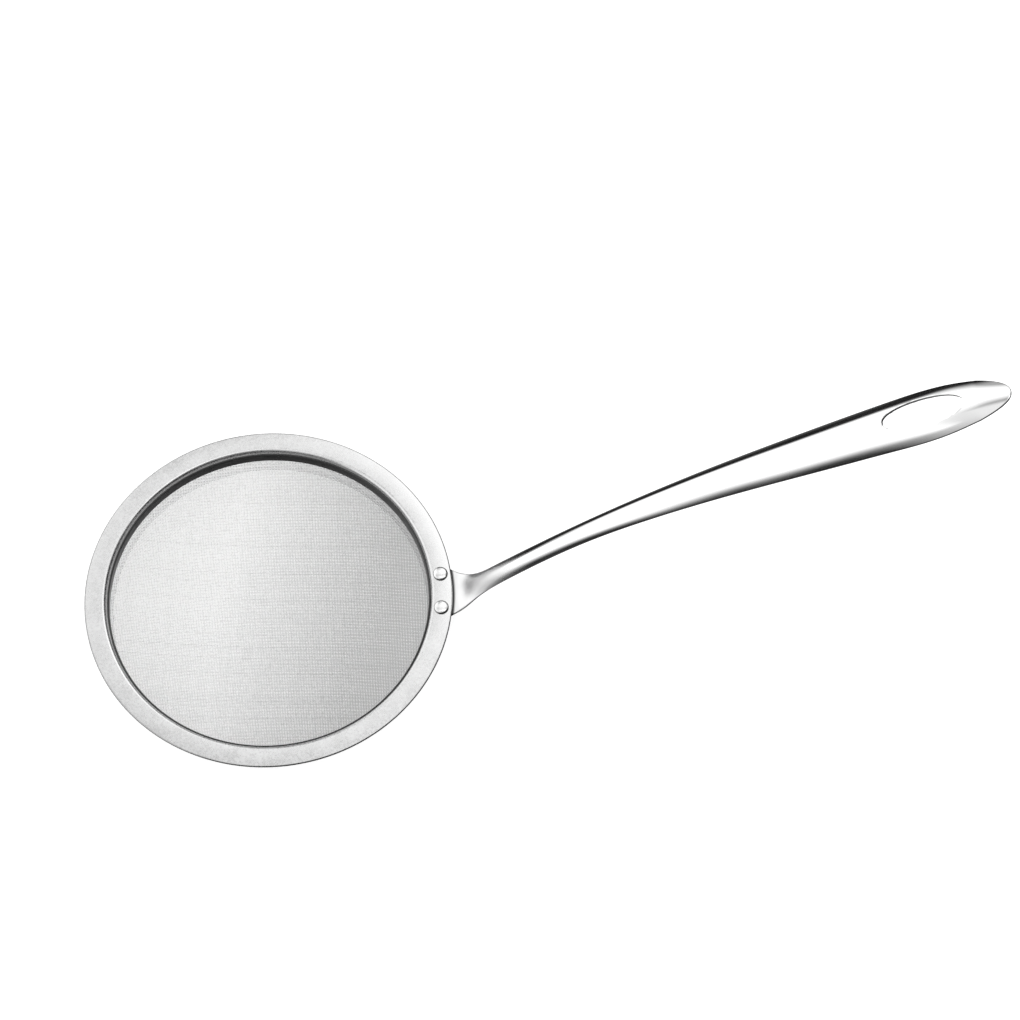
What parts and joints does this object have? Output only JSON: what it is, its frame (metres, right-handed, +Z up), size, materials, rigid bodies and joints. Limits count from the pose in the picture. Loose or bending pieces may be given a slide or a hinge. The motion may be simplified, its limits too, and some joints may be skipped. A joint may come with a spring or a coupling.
{
  "type": "tea strainer",
  "caption": "Flat-rimmed round strainer with a dished fine wire mesh and a long rising stamped handle with a hanging hole.",
  "frame": {"origin": "centre of the bounding box in plan, at the foot of the rim ring", "axes": "+X from the ring towards the handle tip, +Z up out of the bowl, part symmetric about the XZ plane"},
  "size_m": [0.2661, 0.115, 0.1328],
  "materials": {
    "rim_satin_steel": "satin",
    "clamp_steel": "dark polished",
    "wire_steel": "drawn wire",
    "handle_polished_steel": "mirror polished",
    "rivet_steel": "polished"
  },
  "bodies": {
    "root": {"rim_ring": "rim_satin_steel", "clamp_ring": "clamp_steel", "mesh_screen": "wire_steel", "handle": "handle_polished_steel", "rivet_front": "rivet_steel", "rivet_rear": "rivet_steel"}
  },
  "joints": []
}
